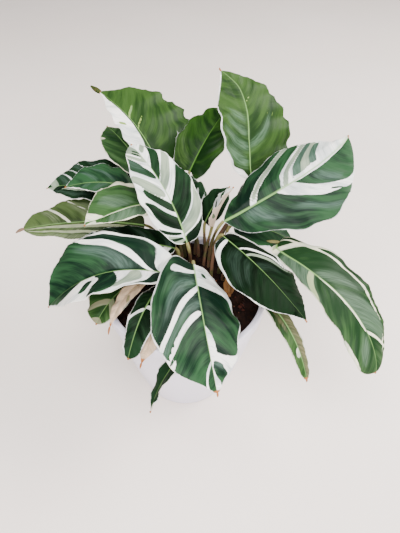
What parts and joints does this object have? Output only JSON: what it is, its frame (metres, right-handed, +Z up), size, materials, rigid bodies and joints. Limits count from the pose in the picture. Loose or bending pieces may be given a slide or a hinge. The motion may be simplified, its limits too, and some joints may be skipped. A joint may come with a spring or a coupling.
{
  "type": "potted calathea",
  "caption": "Leafy houseplant with broad green and white striped, wavy-edged leaves on slim stalks, growing from soil in a round tapered white pot that stands on a flat base.",
  "frame": {"origin": "centre of the pot's flat base, on the surface it stands on", "axes": "+Z up through the pot's middle, -Y towards the front, where the longest front leaf hangs over the rim, +X to the right"},
  "size_m": [0.291, 0.2539, 0.242],
  "materials": {
    "pot_plastic": "satin",
    "soil": "matte",
    "leaf": "satin",
    "leaf_dry": "matte"
  },
  "bodies": {
    "root": {"pot": "pot_plastic", "soil": "soil", "leaf_front": "leaf", "leaf_front_left": "leaf", "leaf_front_right": "leaf", "leaf_right_drooping": "leaf", "leaf_right_large": "leaf", "leaf_right_under": "leaf", "leaf_top_right": "leaf", "leaf_top_left": "leaf", "leaf_back_left_small": "leaf", "leaf_left_high": "leaf", "leaf_striped_upright": "leaf", "leaf_left_light": "leaf", "leaf_back_left_striped": "leaf", "leaf_left_pale": "leaf", "leaf_left_dark": "leaf", "leaf_front_left_low": "leaf", "leaf_front_left_narrow": "leaf", "leaf_rim_left": "leaf", "leaf_rim_left_lower": "leaf", "leaf_rim_front_narrow": "leaf", "leaf_rim_right": "leaf", "leaf_top_centre": "leaf", "leaf_centre_small": "leaf", "leaf_back_right": "leaf", "leaf_back_middle": "leaf", "leaf_back_left": "leaf", "leaf_centre_striped": "leaf", "sheath_dry": "leaf_dry"}
  },
  "joints": []
}
